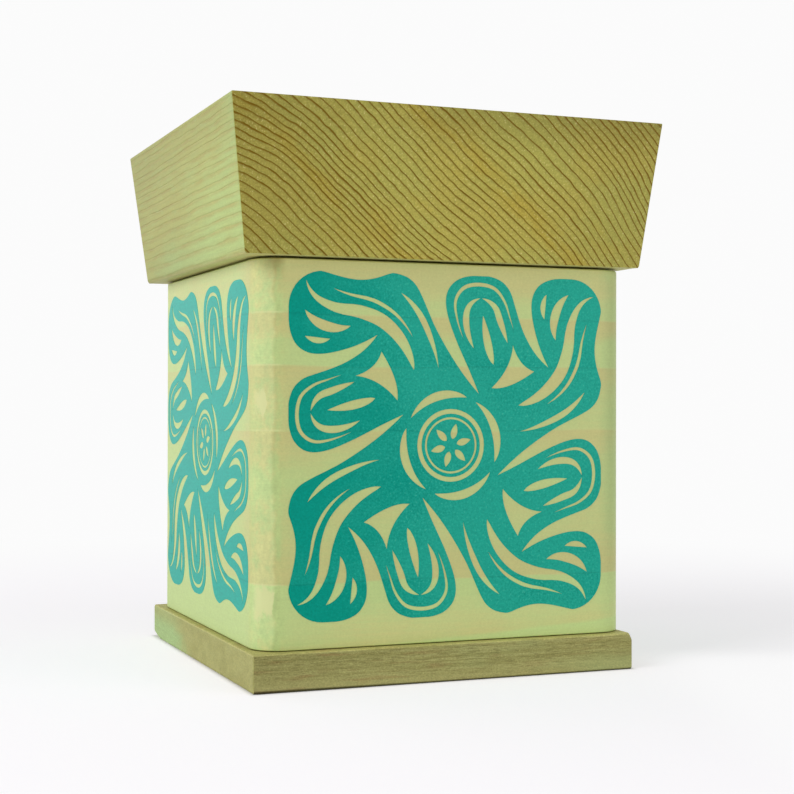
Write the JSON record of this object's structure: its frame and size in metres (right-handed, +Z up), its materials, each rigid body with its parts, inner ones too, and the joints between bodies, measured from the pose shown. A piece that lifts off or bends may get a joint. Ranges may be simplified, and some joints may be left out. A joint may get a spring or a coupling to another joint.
{
  "type": "bentwood box",
  "caption": "Square wooden box with bent corners, a pegged base board, a thick flared lid that lifts off and a teal whorl printed on each side.",
  "frame": {"origin": "middle of the base board's underside", "axes": "+Z up, -Y out of the front, +X to the right of someone facing the front"},
  "size_m": [0.1614, 0.1544, 0.1975],
  "materials": {
    "plank_wood": "satin, pale yellow-green stain",
    "base_wood": "satin, olive stain",
    "lid_wood": "satin, olive stain",
    "peg_wood": "bare end grain",
    "teal_ink": "matte printed ink"
  },
  "bodies": {
    "box": {"side_plank": "plank_wood", "base_board": "base_wood", "print_front": "teal_ink", "print_right": "teal_ink", "print_back": "teal_ink", "print_left": "teal_ink", "corner_peg_1": "peg_wood", "corner_peg_2": "peg_wood", "corner_peg_3": "peg_wood", "corner_peg_4": "peg_wood", "corner_peg_5": "peg_wood", "corner_peg_6": "peg_wood", "base_peg_front_1": "peg_wood", "base_peg_front_2": "peg_wood", "base_peg_front_3": "peg_wood", "base_peg_right_1": "peg_wood", "base_peg_right_2": "peg_wood", "base_peg_right_3": "peg_wood", "base_peg_back_1": "peg_wood", "base_peg_back_2": "peg_wood", "base_peg_back_3": "peg_wood", "base_peg_left_1": "peg_wood", "base_peg_left_2": "peg_wood", "base_peg_left_3": "peg_wood"},
    "lid": {"lid": "lid_wood"}
  },
  "joints": [
    {"name": "lid_lift", "type": "slide", "parent": "box", "child": "lid", "axis": [0, 0, 1], "range_m": [0, 0.16]}
  ]
}
